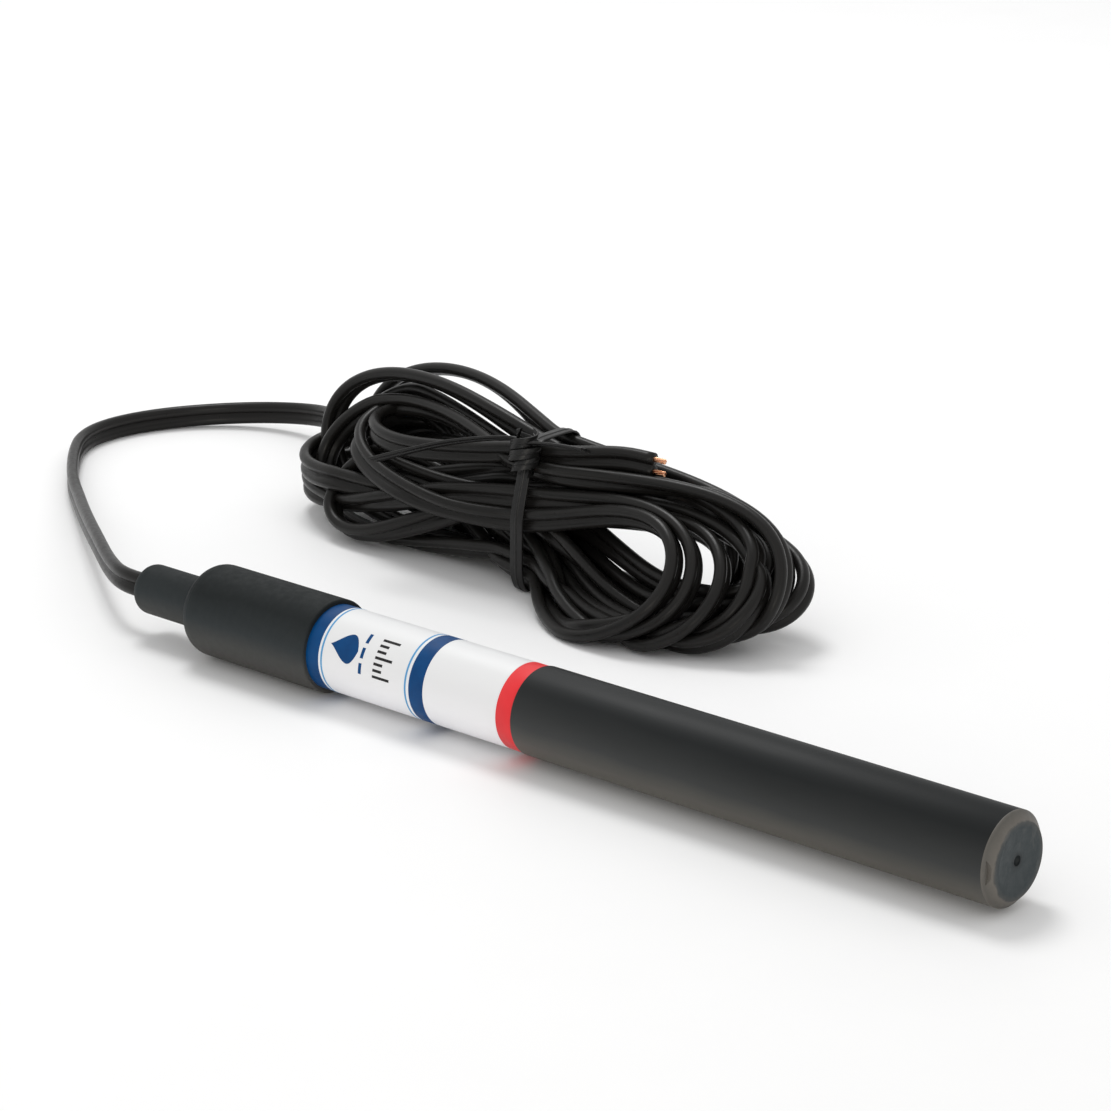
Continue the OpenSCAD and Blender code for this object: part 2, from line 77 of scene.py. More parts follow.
# Each half turn: reach, half height, lean, middle sideways, middle up, how early its upper and its lower
# branch swell, and which branch it goes out on
LEFT = [(84, 19, 82, 23, 4, 2.2, 1.2, -1),
        (88, 20, 80, 12, 3, 1.6, 1.2, -1),
        (70, 16.5, 14, 12, 1, 1.2, 1.2, 1),
        (66, 16.5, 14, 11, 6, 1.2, 1.2, 1),
        (82, 16, 72, 16, 0, 1.4, 1.2, -1),
        (70, 17, 60, -4, -6, 1.4, 1.0, 1),
        (70, 17, 24, 8, 9, 1.2, 1.2, 1),
        (92, 15.5, 14, 11, -7, 1.2, 1.0, 1),
        (90, 15.5, 16, 8, -2, 1.2, 1.0, 1),
        (84, 20, 66, 7, -3, 1.8, 1.0, -1),
        (66, 17, 14, 9, 11, 1.2, 1.2, 1)]
RIGHT = [(78, 15, 40, 4, -5, 1.0, 1.2, 1),
         (74, 16, 55, 3, -4, 1.0, 1.3, 1),
         (64, 15, 22, 0, -8, 1.0, 1.5, 1),
         (72, 21, 52, -8, -4, 1.0, 2.2, 1),
         (70, 16, 34, 2, -2, 1.0, 1.3, 1),
         (74, 19, 48, -9, -5, 1.0, 2.0, 1),
         (60, 16.5, 58, 2, -4, 1.0, 1.4, 1),
         (56, 22, 56, -16, -3, 1.3, 2.6, 1),
         (60, 21, 54, -14, -4, 1.2, 2.5, 1),
         (66, 21, 50, -12, -4, 1.2, 2.3, 1),
         (77, 20, 58, -4, -2, 1.0, 1.9, 1)]


def ease(t):
    t = np.clip(t, 0, 1)
    return t * t * (3 - 2 * t)


def half_turn(sign, row, start, end, n=36):
    """Middle line and wide direction of one loop beside the waist, from one crossing to the other."""
    reach, half, lean, side, up, upper_p, lower_p, first = row
    phi = np.linspace(0, 2 * math.pi, n + 1)[1:-1]
    s = np.sin(phi / 2)
    g = np.sin(phi)
    g = np.sign(g) * np.abs(g) ** 0.85 * s**0.4 / 0.9
    along = 9 + (reach - 9) * s ** np.where(g * first > 0, upper_p, lower_p)
    across = first * half * g
    w = ease(1.15 * s)[:, None]
    base = np.where((phi < math.pi)[:, None], start, end) * (1 - w) + np.array([side, up]) * w
    lean = math.radians(lean)
    sideways, upward = base[:, 0] + across * math.cos(lean), base[:, 1] + across * math.sin(lean)
    line = np.stack([sign * along, sideways, upward], -1)
    wide = np.array([0, 0, 1.0]) * (1 - w) + np.array([0, -math.sin(lean), math.cos(lean)]) * w
    return line, wide


def lead_path():
    """Middle line and wide direction of the whole lead, an even step apart, before the strands settle."""
    line = [(EXIT[0] + x, y, EXIT[2] if i < 2 else LEAD_W / 2 + h) for i, (x, y, h) in enumerate(ROUTE)]
    line += ENTRY
    wide = [(0, 0, 1.0)] * len(line)
    for k in range(len(RIGHT)):
        for x in (-9, 0, 9):
            line.append(WAIST + (x, *OUT[k]))
            wide.append((0, 0, 1.0))
        a, b = half_turn(1, RIGHT[k], OUT[k], BACK[k])
        line.extend(WAIST + a)
        wide.extend(b)
        for x in (9, 0, -9):
            line.append(WAIST + (x, *BACK[k]))
            wide.append((0, 0, 1.0))
        a, b = half_turn(-1, LEFT[k], BACK[k], OUT[k + 1])
        line.extend(WAIST + a)
        wide.extend(b)
    last_y, last_z = OUT[-1]
    for place in ((-9, last_y, last_z), (0, last_y, last_z), (9, last_y, last_z + 1), *FREE_END):
        line.append(WAIST + place)
        wide.append((0, 0, 1.0))
    return even(smooth_line(np.hstack([np.array(line, float), np.array(wide, float)])), STEP)


def smooth_line(points, between=8):
    """A smooth line through the points, with some more points between each two."""
    q = np.concatenate([points[:1], points, points[-1:]])
    t = np.linspace(0, 1, between, endpoint=False)[None, :, None]
    a, b, c, d = (q[i:len(q) - 3 + i, None, :] for i in range(4))
    square, cube = 2 * a - 5 * b + 4 * c - d, 3 * b - a - 3 * c + d
    fine = 0.5 * (2 * b + (c - a) * t + square * t * t + cube * t**3)
    return np.vstack([fine.reshape(-1, points.shape[1]), points[-1:]])


def even(line, step):
    """The same line with its points an even step apart; the first three columns are its place."""
    s = np.concatenate([[0], np.cumsum(np.linalg.norm(np.diff(line[:, :3], axis=0), axis=1))])
    q = np.linspace(0, s[-1], int(round(s[-1] / step)) + 1)
    return np.stack([np.interp(q, s, line[:, i]) for i in range(line.shape[1])], -1)


def square_up(line, wide):
    """The line's direction, and its wide direction turned square to it."""
    along = np.gradient(line, axis=0)
    along /= np.linalg.norm(along, axis=1, keepdims=True)
    wide = wide - (wide * along).sum(1, keepdims=True) * along
    return along, wide / np.maximum(np.linalg.norm(wide, axis=1, keepdims=True), 1e-9)


def close_pairs(p, reach):
    """Pairs of points that are nearer to each other than reach, found along X."""
    order = np.argsort(p[:, 0], kind="stable")
    q = p[order]
    last = np.searchsorted(q[:, 0], q[:, 0] + reach)
    first, second = [], []
    for d in range(1, int((last - np.arange(len(q))).max())):
        k = np.arange(len(q) - d)
        k = k[last[k] > k + d]
        gap = q[k] - q[k + d]
        k = k[(gap * gap).sum(1) < reach * reach]
        first.append(order[k])
        second.append(order[k + d])
    return np.concatenate(first), np.concatenate(second)


CLEAR, HELD_END, EASE_IN, EASE_OUT = 3, 12, 8, 10      # stations
PULL_HOME, SINK, NEAR = 0.02, 0.01, 1.2      # a share of the way back, then mm in a pass and mm of search


def settle(line, wide, free, passes):
    """Lets the strands push apart, bend evenly and sink between station free and the last few, which stay.
    A strand is the middles of its two lobes."""
    n = len(line)
    wide = square_up(line, wide)[1]
    p = np.concatenate([line + wide * HALF, line - wide * HALF])
    home = p.copy()
    station = np.arange(n)
    loose = np.clip((station - free) / EASE_IN, 0, 1) * np.clip((n - HELD_END - station) / EASE_OUT, 0, 1)
    loose = np.tile(loose, 2)[:, None]
    i = np.arange(n - 1)
    # Springs along each lobe, across from lobe to lobe, and between the lobes of one station
    a = np.concatenate([i, i + n, i, i + n, station])
    b = np.concatenate([i + 1, i + 1 + n, i + 1 + n, i + 1, station + n])
    rest = np.full(len(a), 2 * HALF)

    def spread(index, push, size):
        return np.stack([np.bincount(index, push[:, j], size) for j in range(3)], -1)

    for turn in range(passes):
        if turn % 5 == 0:
            one, two = close_pairs(p, LEAD_T + NEAR)
            apart = np.abs(one % n - two % n) > CLEAR
            one, two = one[apart], two[apart]
            h = np.linalg.norm(np.diff(p[:n], axis=0), axis=1).mean() / 2
            h += np.linalg.norm(np.diff(p[n:], axis=0), axis=1).mean() / 2
            rest[:2 * (n - 1)] = h
            rest[2 * (n - 1):4 * (n - 1)] = math.hypot(h, 2 * HALF)
        gap = p[b] - p[a]
        size = np.linalg.norm(gap, axis=1)
        push = ((size - rest) / np.maximum(size, 1e-9) / 6)[:, None] * gap
        move = spread(a, push, 2 * n) - spread(b, push, 2 * n)
        ending = turn / passes
        for reach, stiff in ((1, 0.30), (3, 0.10 - 0.05 * ending)):
            for off in (0, n):
                z = p[off:off + n]
                bend = 0.5 * (z[:-2 * reach] + z[2 * reach:]) - z[reach:-reach]
                move[off + reach:off + n - reach] += stiff * bend
        gap = p[two] - p[one]
        size = np.linalg.norm(gap, axis=1)
        hit = size < LEAD_T
        x, y = one[hit], two[hit]
        push = ((size[hit] - LEAD_T) / np.maximum(size[hit], 1e-6) / 2)[:, None] * gap[hit]
        hits = np.bincount(x, minlength=2 * n) + np.bincount(y, minlength=2 * n)
        move += (spread(x, push, 2 * n) - spread(y, push, 2 * n)) / np.sqrt(np.maximum(hits, 1))[:, None]
        move += PULL_HOME * (1 - ending) * (home - p)
        move[:, 2] -= SINK
        p += move * loose
        held = np.abs(p[:, 0] - WAIST[0]) < 5
        for axis, room in ((1, WAIST_HALF[0]), (2, WAIST_HALF[1])):
            mid, room = WAIST[axis], room - LEAD_T / 2
            p[held, axis] = np.clip(p[held, axis], mid - room, mid + room)
        p[:, 2] = np.maximum(p[:, 2], LEAD_T / 2)
    line, wide = (p[:n] + p[n:]) / 2, p[:n] - p[n:]
    for _ in range(3):
        line[1:-1] = 0.25 * line[:-2] + 0.5 * line[1:-1] + 0.25 * line[2:]
    for _ in range(8):
        wide[1:-1] = 0.25 * wide[:-2] + 0.5 * wide[1:-1] + 0.25 * wide[2:]
    return line, square_up(line, wide)[1]


def make_mesh(name, verts, faces, uv=None, smooth=True):
    """A mesh object at the origin, in metres, from points in millimetres."""
    mesh = bpy.data.meshes.new(name)
    mesh.from_pydata((np.asarray(verts, float) * 0.001).tolist(), [], faces)
    if uv is not None:
        mesh.uv_layers.new(name="run").data.foreach_set("uv", np.asarray(uv, float).ravel())
    mesh.validate()
    mesh.polygons.foreach_set("use_smooth", [smooth] * len(mesh.polygons))
    piece = bpy.data.objects.new(name, mesh)
    bpy.context.scene.collection.objects.link(piece)
    return piece


path = lead_path()
free = int(np.argmin(np.linalg.norm(path[:, :3] - (EXIT[0] - 51, 112, LEAD_W / 2 + 9.5), axis=1)))
lead_line, lead_wide = settle(path[:, :3], path[:, 3:], free, 300)
lead_along, lead_wide = square_up(lead_line, lead_wide)
lead_thin = np.cross(lead_along, lead_wide)

# Outline of the lead: two round lobes with a groove between them
groove = math.degrees(math.asin(WEB / (LEAD_T / 2)))
arc = np.radians(np.linspace(-180 + groove, 180 - groove, 13))
one_lobe = np.stack([HALF + LEAD_T / 2 * np.cos(arc), LEAD_T / 2 * np.sin(arc)], -1)
outline = np.vstack([one_lobe, -one_lobe])
m, n = len(outline), len(lead_line)
verts = (lead_line[:, None] + lead_wide[:, None] * outline[None, :, :1]
         + lead_thin[:, None] * outline[None, :, 1:]).reshape(-1, 3)
faces, uv = [], []
for i in range(n - 1):
    for k in range(m):
        k2 = (k + 1) % m
        faces.append((i * m + k, i * m + k2, (i + 1) * m + k2, (i + 1) * m + k))
        uv += [(i * STEP, k), (i * STEP, k + 1), ((i + 1) * STEP, k + 1), ((i + 1) * STEP, k)]
faces += [tuple(range(m - 1, -1, -1)), tuple(range((n - 1) * m, n * m))]
uv += [(0, k) for k in range(2 * m)]
lead = make_mesh("flat_twin_lead", verts, faces, uv)


def material(name, colour, rough, metallic=0.0, shine=0.5):
    """A material with its colour and roughness on its shader, and the tree and shader to add detail to."""
    mat = bpy.data.materials.new(name)
    mat.use_nodes = True
    shader = mat.node_tree.nodes["Principled BSDF"]
    shader.inputs["Base Color"].default_value = (*colour, 1)
    shader.inputs["Roughness"].default_value = rough
    shader.inputs["Metallic"].default_value = metallic
    shader.inputs["Specular IOR Level"].default_value = shine
    return mat, mat.node_tree, shader


def grain(tree, coords, scale, stretch=(1, 1, 1), detail=4.0, rough=0.55):
    """A noise value on object coordinates or on a UV map."""
    where = tree.nodes.new("ShaderNodeTexCoord")
    place = tree.nodes.new("ShaderNodeMapping")
    place.inputs["Scale"].default_value = stretch
    noise = tree.nodes.new("ShaderNodeTexNoise")
    noise.inputs["Scale"].default_value = scale
    noise.inputs["Detail"].default_value = detail
    noise.inputs["Roughness"].default_value = rough
    tree.links.new(where.outputs[coords], place.inputs["Vector"])
    tree.links.new(place.outputs["Vector"], noise.inputs["Vector"])
    return noise.outputs["Fac"]


def ramp(tree, value, stops):
    """Maps a value through a colour ramp with the given (place, colour) stops."""
    node = tree.nodes.new("ShaderNodeValToRGB")
    while len(node.color_ramp.elements) < len(stops):
        node.color_ramp.elements.new(0.5)
    for element, (at, colour) in zip(node.color_ramp.elements, stops):
        element.position = at
        element.color = (*colour, 1) if len(colour) == 3 else (colour[0], colour[0], colour[0], 1)
    tree.links.new(value, node.inputs["Fac"])
    return node.outputs["Color"]


def bump(tree, shader, value, strength, depth):
    """Adds a bump from a value on top of any bump that the shader already has."""
    node = tree.nodes.new("ShaderNodeBump")
    node.inputs["Strength"].default_value = strength
    node.inputs["Distance"].default_value = depth
    tree.links.new(value, node.inputs["Height"])
    if shader.inputs["Normal"].links:
        tree.links.new(shader.inputs["Normal"].links[0].from_socket, node.inputs["Normal"])
    tree.links.new(node.outputs["Normal"], shader.inputs["Normal"])


def vary_colour(tree, shader, value, stops):
    """Lets a value set the colour, through a ramp."""
    tree.links.new(ramp(tree, value, stops), shader.inputs["Base Color"])


def vary_rough(tree, shader, value, smoothest, roughest):
    """Lets a value set the roughness, between two limits."""
    tree.links.new(ramp(tree, value, [(0.3, (smoothest,)), (0.7, (roughest,))]), shader.inputs["Roughness"])


def finish_surface(name, dark, light, rough, spread, scale, bumps=(), metallic=0.0, shine=0.5):
    """A material whose colour and roughness wander a little. A bump is (scale, stretch, strength, depth)."""
    mat, tree, shader = material(name, dark, rough, metallic, shine)
    vary_colour(tree, shader, grain(tree, "Object", scale), [(0.3, dark), (0.7, light)])
    vary_rough(tree, shader, grain(tree, "Object", scale * 2.3), rough - spread, rough + spread)
    for size, stretch, strength, depth in bumps:
        bump(tree, shader, grain(tree, "Object", size, stretch), strength, depth)
    return mat


black_vinyl, tree, shader = material("black_vinyl", (0.009, 0.0085, 0.008), 0.32, shine=0.2)
streaks = grain(tree, "UV", 1.0, (0.03, 0.9, 1))
vary_colour(tree, shader, streaks, [(0.3, (0.006, 0.0058, 0.0054)), (0.72, (0.014, 0.013, 0.012))])
vary_rough(tree, shader, grain(tree, "Object", 900), 0.27, 0.40)
bump(tree, shader, grain(tree, "UV", 1.0, (0.05, 1.6, 1)), 0.25, 0.0001)
bump(tree, shader, grain(tree, "Object", 2600), 0.12, 0.00004)
lead.data.materials.append(black_vinyl)
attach(lead, "root")
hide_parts("cord_run", "cord_hank", "cord_free_end")


# ---- Stripped wire ends ----
# The lead's last 3 mm are stripped: two bare copper conductors of seven strands each, laid up in a slow
# twist. One strand's path is repeated round the conductor's middle by geometry nodes.
def new_tree(name, sizes):
    """A geometry node tree with named sizes, and its input and output nodes."""
    tree = bpy.data.node_groups.new(name, "GeometryNodeTree")
    tree.interface.new_socket("Geometry", in_out="INPUT", socket_type="NodeSocketGeometry")
    for label, value in sizes:
        if isinstance(value, int):
            kind = "NodeSocketInt"
        elif isinstance(value, float):
            kind = "NodeSocketFloat"
        else:
            kind = "NodeSocketMaterial"
        socket = tree.interface.new_socket(label, in_out="INPUT", socket_type=kind)
        if kind != "NodeSocketMaterial":
            socket.default_value = value
    tree.interface.new_socket("Geometry", in_out="OUTPUT", socket_type="NodeSocketGeometry")
    return tree, tree.nodes.new("NodeGroupInput"), tree.nodes.new("NodeGroupOutput")


def end_tree(tree, inputs, outputs, geometry):
    """Ends a tree with its instances realized and its material set."""
    real = tree.nodes.new("GeometryNodeRealizeInstances")
    paint = tree.nodes.new("GeometryNodeSetMaterial")
    smooth = tree.nodes.new("GeometryNodeSetShadeSmooth")
    tree.links.new(geometry, real.inputs["Geometry"])
    tree.links.new(real.outputs["Geometry"], smooth.inputs["Geometry"])
    tree.links.new(smooth.outputs["Geometry"], paint.inputs["Geometry"])
    tree.links.new(inputs.outputs["Material"], paint.inputs["Material"])
    tree.links.new(paint.outputs["Geometry"], outputs.inputs[0])


def grown(name, tree, seed_mesh, sizes):
    """A plain mesh object made by a tree from a seed mesh and sizes."""
    holder = bpy.data.objects.new(name + "_seed", seed_mesh)
    bpy.context.scene.collection.objects.link(holder)
    mod = holder.modifiers.new("grow", "NODES")
    mod.node_group = tree
    for item in tree.interface.items_tree:
        if item.item_type == "SOCKET" and item.in_out == "INPUT" and item.name in sizes:
            mod[item.identifier] = sizes[item.name]
    bpy.context.view_layer.update()
    mesh = bpy.data.meshes.new_from_object(holder.evaluated_get(bpy.context.evaluated_depsgraph_get()))
    bpy.data.objects.remove(holder)
    mesh.name = name
    piece = bpy.data.objects.new(name, mesh)
    bpy.context.scene.collection.objects.link(piece)
    return piece


def math_node(tree, kind, a, b=None):
    node = tree.nodes.new("ShaderNodeMath")
    node.operation = kind
    for i, v in enumerate((a, b)):
        if v is None:
            continue
        if isinstance(v, (int, float)):
            node.inputs[i].default_value = v
        else:
            tree.links.new(v, node.inputs[i])
    return node.outputs[0]


WIRE_D, BARE, INSIDE = 1.2, 3.0, 2.0
tree, inputs, outputs = new_tree("laid_up_strands", [
    ("Length", 0.005), ("Strand Radius", 0.0002), ("Lay Radius", 0.0004),
    ("Turns", 0.35), ("Outer Strands", 6), ("Material", None)])
spiral = tree.nodes.new("GeometryNodeCurveSpiral")
spiral.inputs["Resolution"].default_value = 40
tree.links.new(inputs.outputs["Turns"], spiral.inputs["Rotations"])
tree.links.new(inputs.outputs["Lay Radius"], spiral.inputs["Start Radius"])
tree.links.new(inputs.outputs["Lay Radius"], spiral.inputs["End Radius"])
tree.links.new(inputs.outputs["Length"], spiral.inputs["Height"])
one = tree.nodes.new("GeometryNodeMeshLine")
tree.links.new(inputs.outputs["Outer Strands"], one.inputs["Count"])
one.inputs["Offset"].default_value = (0, 0, 0)
copies = tree.nodes.new("GeometryNodeInstanceOnPoints")
tree.links.new(one.outputs["Mesh"], copies.inputs["Points"])
tree.links.new(spiral.outputs["Curve"], copies.inputs["Instance"])
index = tree.nodes.new("GeometryNodeInputIndex")
spin = tree.nodes.new("ShaderNodeCombineXYZ")
one_share = math_node(tree, "DIVIDE", math.tau, inputs.outputs["Outer Strands"])
tree.links.new(math_node(tree, "MULTIPLY", index.outputs[0], one_share), spin.inputs["Z"])
tree.links.new(spin.outputs[0], copies.inputs["Rotation"])
core = tree.nodes.new("GeometryNodeCurvePrimitiveLine")
tip_at = tree.nodes.new("ShaderNodeCombineXYZ")
tree.links.new(inputs.outputs["Length"], tip_at.inputs["Z"])
tree.links.new(tip_at.outputs[0], core.inputs["End"])
join = tree.nodes.new("GeometryNodeJoinGeometry")
tree.links.new(core.outputs["Curve"], join.inputs[0])
tree.links.new(copies.outputs["Instances"], join.inputs[0])
round_wire = tree.nodes.new("GeometryNodeCurvePrimitiveCircle")
round_wire.inputs["Resolution"].default_value = 12
tree.links.new(inputs.outputs["Strand Radius"], round_wire.inputs["Radius"])
tube = tree.nodes.new("GeometryNodeCurveToMesh")
tube.inputs["Fill Caps"].default_value = True
tree.links.new(join.outputs[0], tube.inputs["Curve"])
tree.links.new(round_wire.outputs["Curve"], tube.inputs["Profile Curve"])
stand = tree.nodes.new("GeometryNodeTransform")
tree.links.new(tube.outputs["Mesh"], stand.inputs["Geometry"])
seats = tree.nodes.new("GeometryNodeInstanceOnPoints")
tree.links.new(inputs.outputs["Geometry"], seats.inputs["Points"])
tree.links.new(stand.outputs["Geometry"], seats.inputs["Instance"])
end_dir = Vector(lead_along[-1]).normalized()
seats.inputs["Rotation"].default_value = end_dir.to_track_quat("Z", "Y").to_euler()
end_tree(tree, inputs, outputs, seats.outputs["Instances"])

copper = finish_surface("bright_copper", (0.72, 0.32, 0.16), (0.90, 0.52, 0.33), 0.28, 0.06, 900,
                        [(3000, (1, 1, 1), 0.15, 0.00003)], 1.0)
seed = bpy.data.meshes.new("wire_seats")
starts = [lead_line[-1] + s * HALF * lead_wide[-1] - INSIDE * lead_along[-1] for s in (-1, 1)]
seed.from_pydata([tuple(p * 0.001) for p in starts], [], [])
bare_ends = grown("bare_wire_ends", tree, seed, {
    "Length": (BARE + INSIDE) * 0.001, "Strand Radius": WIRE_D / 6 * 0.001, "Lay Radius": WIRE_D / 3 * 0.001,
    "Turns": 0.35, "Outer Strands": 6, "Material": copper})
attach(bare_ends, "root")
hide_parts("bare_conductors")


# ---- Twist tie ----
# A black plastic ribbon with a thin steel wire moulded along its middle goes round the waist of the hank.
# Its two ends are twisted into a short fat knot at the top of the near side, and stick out beside it.
RIBBON_W, RIBBON_T, TIE_WIRE = 3.6, 0.55, 0.9
near = np.abs(lead_line[:, 0] - WAIST[0]) < 3.2
section = [lead_line[near] + lead_wide[near] * a + lead_thin[near] * b for a, b in outline]
section = np.vstack(section)[:, 1:]


def hull(points):
    """Corners of the convex outline round points in a plane, anticlockwise."""
    points = sorted(map(tuple, points))

    def turns_left(a, b, c):
        return (b[0] - a[0]) * (c[1] - a[1]) > (b[1] - a[1]) * (c[0] - a[0])

    def chain(run):
        out = []
        for p in run:
            while len(out) > 1 and not turns_left(out[-2], out[-1], p):
                out.pop()
            out.append(p)
        return out[:-1]

    return np.array(chain(points) + chain(points[::-1]))


band = hull(section)
band = np.vstack([band, band[:1]])
band = even(np.hstack([band, np.zeros((len(band), 1))]), 0.8)[:-1, :2]
for _ in range(6):
    band = (np.roll(band, 1, 0) + 2 * band + np.roll(band, -1, 0)) / 4
out = np.roll(band, -1, 0) - np.roll(band, 1, 0)
out = np.stack([out[:, 1], -out[:, 0]], -1) / np.linalg.norm(out, axis=1, keepdims=True)
band = band + out * (RIBBON_T / 2 + 0.35)
band[:, 1] = np.maximum(band[:, 1], RIBBON_T / 2 + 0.3)
loop = np.insert(band, 0, WAIST[0], axis=1)
loop_side = np.tile([1.0, 0, 0], (len(loop), 1))

# The knot stands off the band's near top corner, square to it
corner = int(np.argmax(band @ np.array([-0.75, 0.66])))
knot_up = np.array([0, 0.18, 0.98])
knot_mid = np.array([WAIST[0], *band[corner]]) + np.array([0.3, -2.6, -0.6])
KNOT_R, KNOT_H, TURNS = 3.2, 8.0, 1.6


def knot_strand(phase):
    """Middle line and side direction of one ribbon end as it winds round the other."""
    t = np.linspace(0, 1, 44)
    a = phase + t * TURNS * math.tau
    x, y = np.array([1.0, 0, 0]), np.cross(knot_up, [1.0, 0, 0])
    round_it = np.cos(a)[:, None] * x + np.sin(a)[:, None] * y
    reach = KNOT_R * (0.55 + 0.45 * np.sin(np.pi * t))
    line = knot_mid + knot_up * (KNOT_H * (t - 0.5))[:, None] + reach[:, None] * round_it
    return line, np.tile(knot_up, (len(t), 1)) * 0.8 + 0.6 * np.cross(knot_up, round_it)


def tail(points, side):
    """Middle line and side direction of a ribbon end that leaves the knot through the given points."""
    line = smooth_line(np.array(points, float))
    return line, np.tile(side, (len(line), 1))


knots = [knot_strand(0.4), knot_strand(0.4 + math.pi)]
top = knot_mid + knot_up * KNOT_H * 0.36
edge_up = (0, -0.92, 0.39)
left_end = tail([top + (0.5, -0.3, -1.2), top + (-4, -1.2, -0.2), top + (-19.5, -5, -3.6),
                 top + (-37, -10, -9.8)], edge_up)
right_end = tail([top + (-0.5, -0.3, -1.6), top + (4, -0.6, -0.2), top + (10, -0.6, 0.6),
                  top + (17.5, -0.4, 1.0)], edge_up)

tree, inputs, outputs = new_tree("wired_ribbon", [
    ("Width", 0.0036), ("Thickness", 0.0007), ("Wire Diameter", 0.0012),
    ("Edge Radius", 0.00025), ("Material", None)])
to_curve = tree.nodes.new("GeometryNodeMeshToCurve")
tree.links.new(inputs.outputs["Geometry"], to_curve.inputs["Mesh"])
side = tree.nodes.new("GeometryNodeInputNamedAttribute")
side.data_type = "FLOAT_VECTOR"
side.inputs["Name"].default_value = "side"
lay_flat = tree.nodes.new("GeometryNodeSetCurveNormal")
lay_flat.mode = "FREE"
tree.links.new(to_curve.outputs["Curve"], lay_flat.inputs["Curve"])
tree.links.new(side.outputs["Attribute"], lay_flat.inputs["Normal"])
flat = tree.nodes.new("GeometryNodeCurvePrimitiveQuadrilateral")
tree.links.new(inputs.outputs["Width"], flat.inputs["Width"])
tree.links.new(inputs.outputs["Thickness"], flat.inputs["Height"])
soften = tree.nodes.new("GeometryNodeFilletCurve")
soften.mode = "POLY"
soften.inputs["Count"].default_value = 4
tree.links.new(flat.outputs["Curve"], soften.inputs["Curve"])
tree.links.new(inputs.outputs["Edge Radius"], soften.inputs["Radius"])
bead = tree.nodes.new("GeometryNodeCurvePrimitiveCircle")
bead.inputs["Resolution"].default_value = 14
tree.links.new(math_node(tree, "DIVIDE", inputs.outputs["Wire Diameter"], 2.0), bead.inputs["Radius"])
both = tree.nodes.new("GeometryNodeJoinGeometry")
for profile in (soften, bead):
    swept = tree.nodes.new("GeometryNodeCurveToMesh")
    swept.inputs["Fill Caps"].default_value = True
    tree.links.new(lay_flat.outputs["Curve"], swept.inputs["Curve"])
    tree.links.new(profile.outputs["Curve"], swept.inputs["Profile Curve"])
    tree.links.new(swept.outputs["Mesh"], both.inputs[0])
end_tree(tree, inputs, outputs, both.outputs[0])

runs = [(loop, loop_side, True)] + [(a, b, False) for a, b in (*knots, left_end, right_end)]
points, sides, edges = [], [], []
for line, lean, closed in runs:
    first, count = len(points), len(line)
    points += [tuple(p * 0.001) for p in line]
    sides += [tuple(v) for v in np.asarray(lean, float)]
    edges += [(first + i, first + i + 1) for i in range(count - 1)]
    if closed:
        edges.append((first + count - 1, first))
seed = bpy.data.meshes.new("ribbon_run")
seed.from_pydata(points, edges, [])
side_of = seed.attributes.new("side", "FLOAT_VECTOR", "POINT")
side_of.data.foreach_set("vector", np.array(sides, float).ravel())
ribbon_black = finish_surface("ribbon_black", (0.005, 0.005, 0.005), (0.010, 0.0095, 0.009), 0.38, 0.08,
                              400, [(1800, (1, 1, 1), 0.2, 0.00005)], shine=0.3)
tie = grown("wired_twist_tie", tree, seed, {"Width": RIBBON_W * 0.001, "Thickness": RIBBON_T * 0.001,
                                            "Wire Diameter": TIE_WIRE * 0.001, "Edge Radius": 0.00025,
                                            "Material": ribbon_black})
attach(tie, "root")
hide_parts("twist_tie", "tie_wire")


# ---- Cable boot ----
# A soft rubber boot is moulded over the rear end of the probe and the first bit of lead: a narrow neck, a
# round shoulder and a wide cuff that laps over the label. It is fine and matt. Its colour is painted paler
# low down as painted light bounced up from the floor, and darker on top as painted shade.
PROBE_TOP = 0.0196      # metres above the floor


def height_share(tree, scale):
    """How high a point is between the floor and the probe's top, from 0 to 1, and a little uneven."""
    where = tree.nodes.new("ShaderNodeTexCoord")
    split = tree.nodes.new("ShaderNodeSeparateXYZ")
    tree.links.new(where.outputs["Object"], split.inputs[0])
    share = math_node(tree, "DIVIDE", split.outputs["Z"], PROBE_TOP)
    uneven = math_node(tree, "SUBTRACT", grain(tree, "Object", scale, (0.3, 1, 1)), 0.5)
    return math_node(tree, "ADD", share, math_node(tree, "MULTIPLY", uneven, 0.25))


boot_rubber, tree, shader = material("charcoal_boot_rubber", (0.026, 0.031, 0.033), 0.66, shine=0.12)
# Painted light: the rubber's colour is painted paler low down where the floor's bounce falls, and darker on
# top as painted shade.
vary_colour(tree, shader, height_share(tree, 60), [
    (0.12, (0.072, 0.070, 0.066)), (0.34, (0.056, 0.057, 0.055)),
    (0.55, (0.029, 0.034, 0.036)), (0.85, (0.011, 0.0135, 0.014))])
vary_rough(tree, shader, grain(tree, "Object", 700), 0.56, 0.7)
bump(tree, shader, grain(tree, "Object", 5200, detail=2.0), 0.35, 0.00004)
bump(tree, shader, grain(tree, "Object", 240, (0.3, 1, 1)), 0.15, 0.00010)


def repaint(node, mat):
    """Gives a CAD node its finished material."""
    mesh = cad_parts[node].data
    mesh.materials.clear()
    mesh.materials.append(mat)


repaint("cable_boot", boot_rubber)


# ---- Label and depth ring ----
# A white printed film is wrapped round the tube from under the boot to a narrow band of red vinyl, which
# marks the depth to bury the probe to. The print has two navy bands with a fine sky-blue line beside each,
# a water drop over the soil, and a short ruled scale in black.
AXIS_Z, TUBE_R, LABEL_R = 9.8, 8.7, 8.8
PRINT_T, PRINT_IN = 0.025, 0.02      # how far the ink stands out of the film and reaches into it


